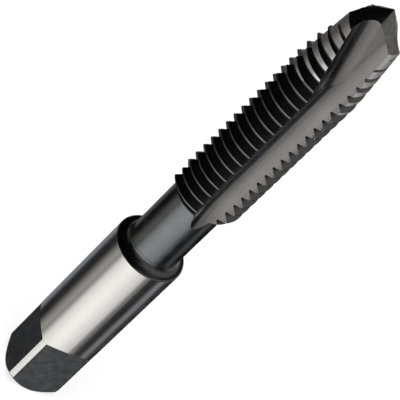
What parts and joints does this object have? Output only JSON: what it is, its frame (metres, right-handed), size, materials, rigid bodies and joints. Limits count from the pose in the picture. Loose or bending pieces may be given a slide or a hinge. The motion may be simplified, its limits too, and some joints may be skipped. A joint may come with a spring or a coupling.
{
  "type": "thread tap",
  "caption": "Spiral point thread tap with a round shank, a square drive end, a slimmer neck and straight flutes, for cutting an inside thread.",
  "frame": {"origin": "centre of the flat end face of the drive square", "axes": "+Z along the tool's axis, from the drive square to the point; X and Y are square to the drive flats"},
  "size_m": [0.0096, 0.0096, 0.0781],
  "materials": {
    "tool_steel": "ground bright on the shank, dark oxide in the neck and thread, satin in the flutes"
  },
  "bodies": {
    "root": {"spiral_point_tap": "tool_steel"}
  },
  "joints": []
}
